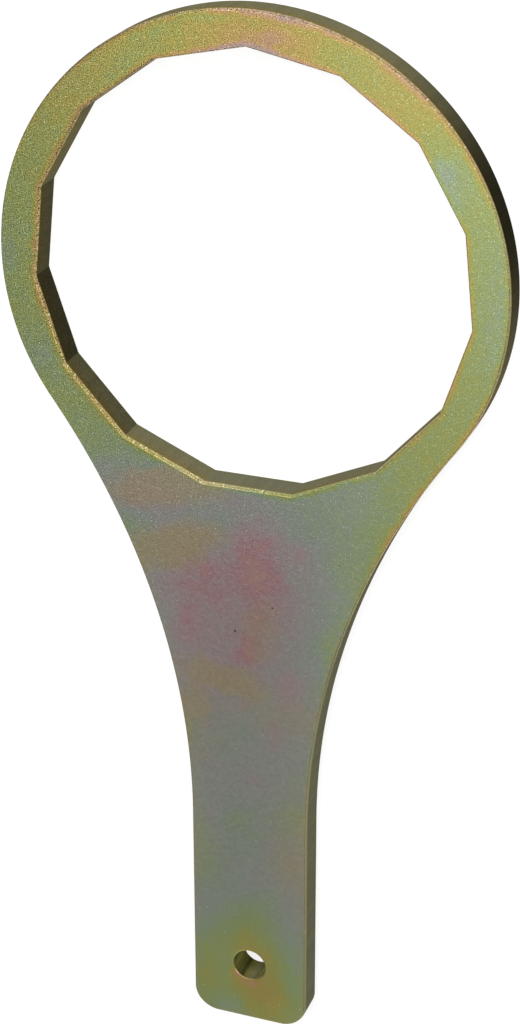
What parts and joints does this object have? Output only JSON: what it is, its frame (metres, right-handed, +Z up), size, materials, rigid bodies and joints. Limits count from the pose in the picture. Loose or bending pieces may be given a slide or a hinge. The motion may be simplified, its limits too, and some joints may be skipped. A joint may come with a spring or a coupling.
{
  "type": "fuel filter cap wrench",
  "caption": "Flat steel ring wrench that turns a fuel filter's cap: a many-sided opening in a round ring that flares into a straight handle with a hanging hole.",
  "frame": {"origin": "the opening's axis, in the face that the wrench lies on", "axes": "+Z up out of the upper face, along the opening's axis; the handle runs along -Y; +X is to the right when the handle points at the viewer"},
  "size_m": [0.1174, 0.254, 0.0079],
  "materials": {
    "plated_steel": "blasted steel plate with satin yellow zinc plating, olive yellow with faint pink, teal and ochre patches"
  },
  "bodies": {
    "root": {"wrench_plate": "plated_steel"}
  },
  "joints": []
}
